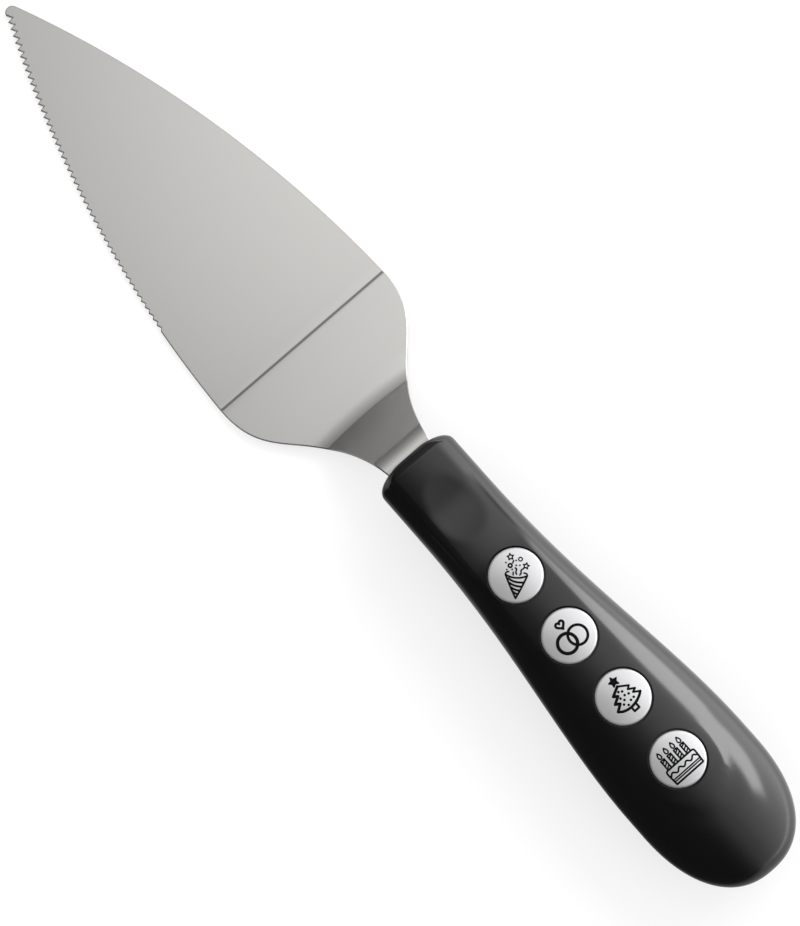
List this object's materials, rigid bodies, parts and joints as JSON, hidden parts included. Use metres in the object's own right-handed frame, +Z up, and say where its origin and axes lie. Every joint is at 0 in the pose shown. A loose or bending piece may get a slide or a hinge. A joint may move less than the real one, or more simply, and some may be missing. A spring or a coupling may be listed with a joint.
{
  "type": "musical cake knife",
  "caption": "Serrated cake server with a cranked neck and a black handle whose round picture buttons play melodies from a sound board, cells and speaker inside.",
  "frame": {"origin": "middle of the knife's plan box, on the table under the blade and the butt", "axes": "+X towards the blade's tip, +Y towards the serrated edge, +Z up out of the buttons"},
  "size_m": [0.292, 0.0542, 0.0278],
  "materials": {
    "blade_steel": "satin stainless sheet, stamped and tumbled",
    "black_plastic": "satin black moulded plastic",
    "silver_caps": "silver-sprayed plastic caps with black printed pictograms",
    "silicone": "translucent white silicone",
    "carbon": "matt carbon-filled rubber",
    "board_green": "green solder mask over glass-fibre board",
    "epoxy": "black potting epoxy",
    "blue_ceramic": "pale blue lacquered resistor body",
    "cell_steel": "nickel-plated steel can",
    "spring_steel": "nickel-plated spring strip",
    "magnet_steel": "zinc-plated steel",
    "paper_cone": "black pressed paper",
    "foam": "closed-cell foam",
    "screw_steel": "zinc-plated steel",
    "red_insulation": "red wire insulation",
    "black_insulation": "black wire insulation"
  },
  "bodies": {
    "handle": {"blade": "blade_steel", "handle_top_shell": "black_plastic", "handle_bottom_shell": "black_plastic", "popper_dome": "silicone", "rings_dome": "silicone", "tree_dome": "silicone", "cake_dome": "silicone", "circuit_board": "board_green", "melody_chip": "epoxy", "drive_transistor": "epoxy", "timing_resistor": "blue_ceramic", "battery_cell_1": "cell_steel", "battery_cell_2": "cell_steel", "battery_cell_3": "cell_steel", "battery_contact_plus": "spring_steel", "battery_contact_minus": "spring_steel", "speaker_gasket": "foam", "speaker_frame": "magnet_steel", "speaker_cone": "paper_cone", "speaker_magnet": "magnet_steel", "shell_screw_1": "screw_steel", "shell_screw_2": "screw_steel", "shell_screw_3": "screw_steel", "shell_screw_4": "screw_steel", "board_screw_1": "screw_steel", "board_screw_2": "screw_steel", "battery_wire_red": "red_insulation", "battery_wire_black": "black_insulation", "speaker_wire_red": "red_insulation", "speaker_wire_black": "black_insulation"},
    "popper_button": {"popper_button": "silver_caps", "popper_pill": "carbon"},
    "rings_button": {"rings_button": "silver_caps", "rings_pill": "carbon"},
    "tree_button": {"tree_button": "silver_caps", "tree_pill": "carbon"},
    "cake_button": {"cake_button": "silver_caps", "cake_pill": "carbon"},
    "battery_door": {"battery_door": "black_plastic"},
    "door_screw": {"battery_door_screw": "screw_steel"}
  },
  "joints": [
    {"name": "popper_press", "type": "slide", "parent": "handle", "child": "popper_button", "axis": [0, 0, -1], "range_m": [0, 0.001], "stiffness_N_per_m": 900, "springref_m": -0.0005, "deforming": ["popper_dome"]},
    {"name": "rings_press", "type": "slide", "parent": "handle", "child": "rings_button", "axis": [0, 0, -1], "range_m": [0, 0.001], "stiffness_N_per_m": 900, "springref_m": -0.0005, "deforming": ["rings_dome"]},
    {"name": "tree_press", "type": "slide", "parent": "handle", "child": "tree_button", "axis": [0, 0, -1], "range_m": [0, 0.001], "stiffness_N_per_m": 900, "springref_m": -0.0005, "deforming": ["tree_dome"]},
    {"name": "cake_press", "type": "slide", "parent": "handle", "child": "cake_button", "axis": [0, 0, -1], "range_m": [0, 0.001], "stiffness_N_per_m": 900, "springref_m": -0.0005, "deforming": ["cake_dome"]},
    {"name": "battery_door_lift", "type": "slide", "parent": "handle", "child": "battery_door", "axis": [0, 0, -1], "range_m": [0, 0.025]},
    {"name": "door_screw_turn", "type": "hinge", "parent": "battery_door", "child": "door_screw", "pos_m": [-0.09989, 0, 0.004], "axis": [0, 0, 1], "continuous": true}
  ]
}
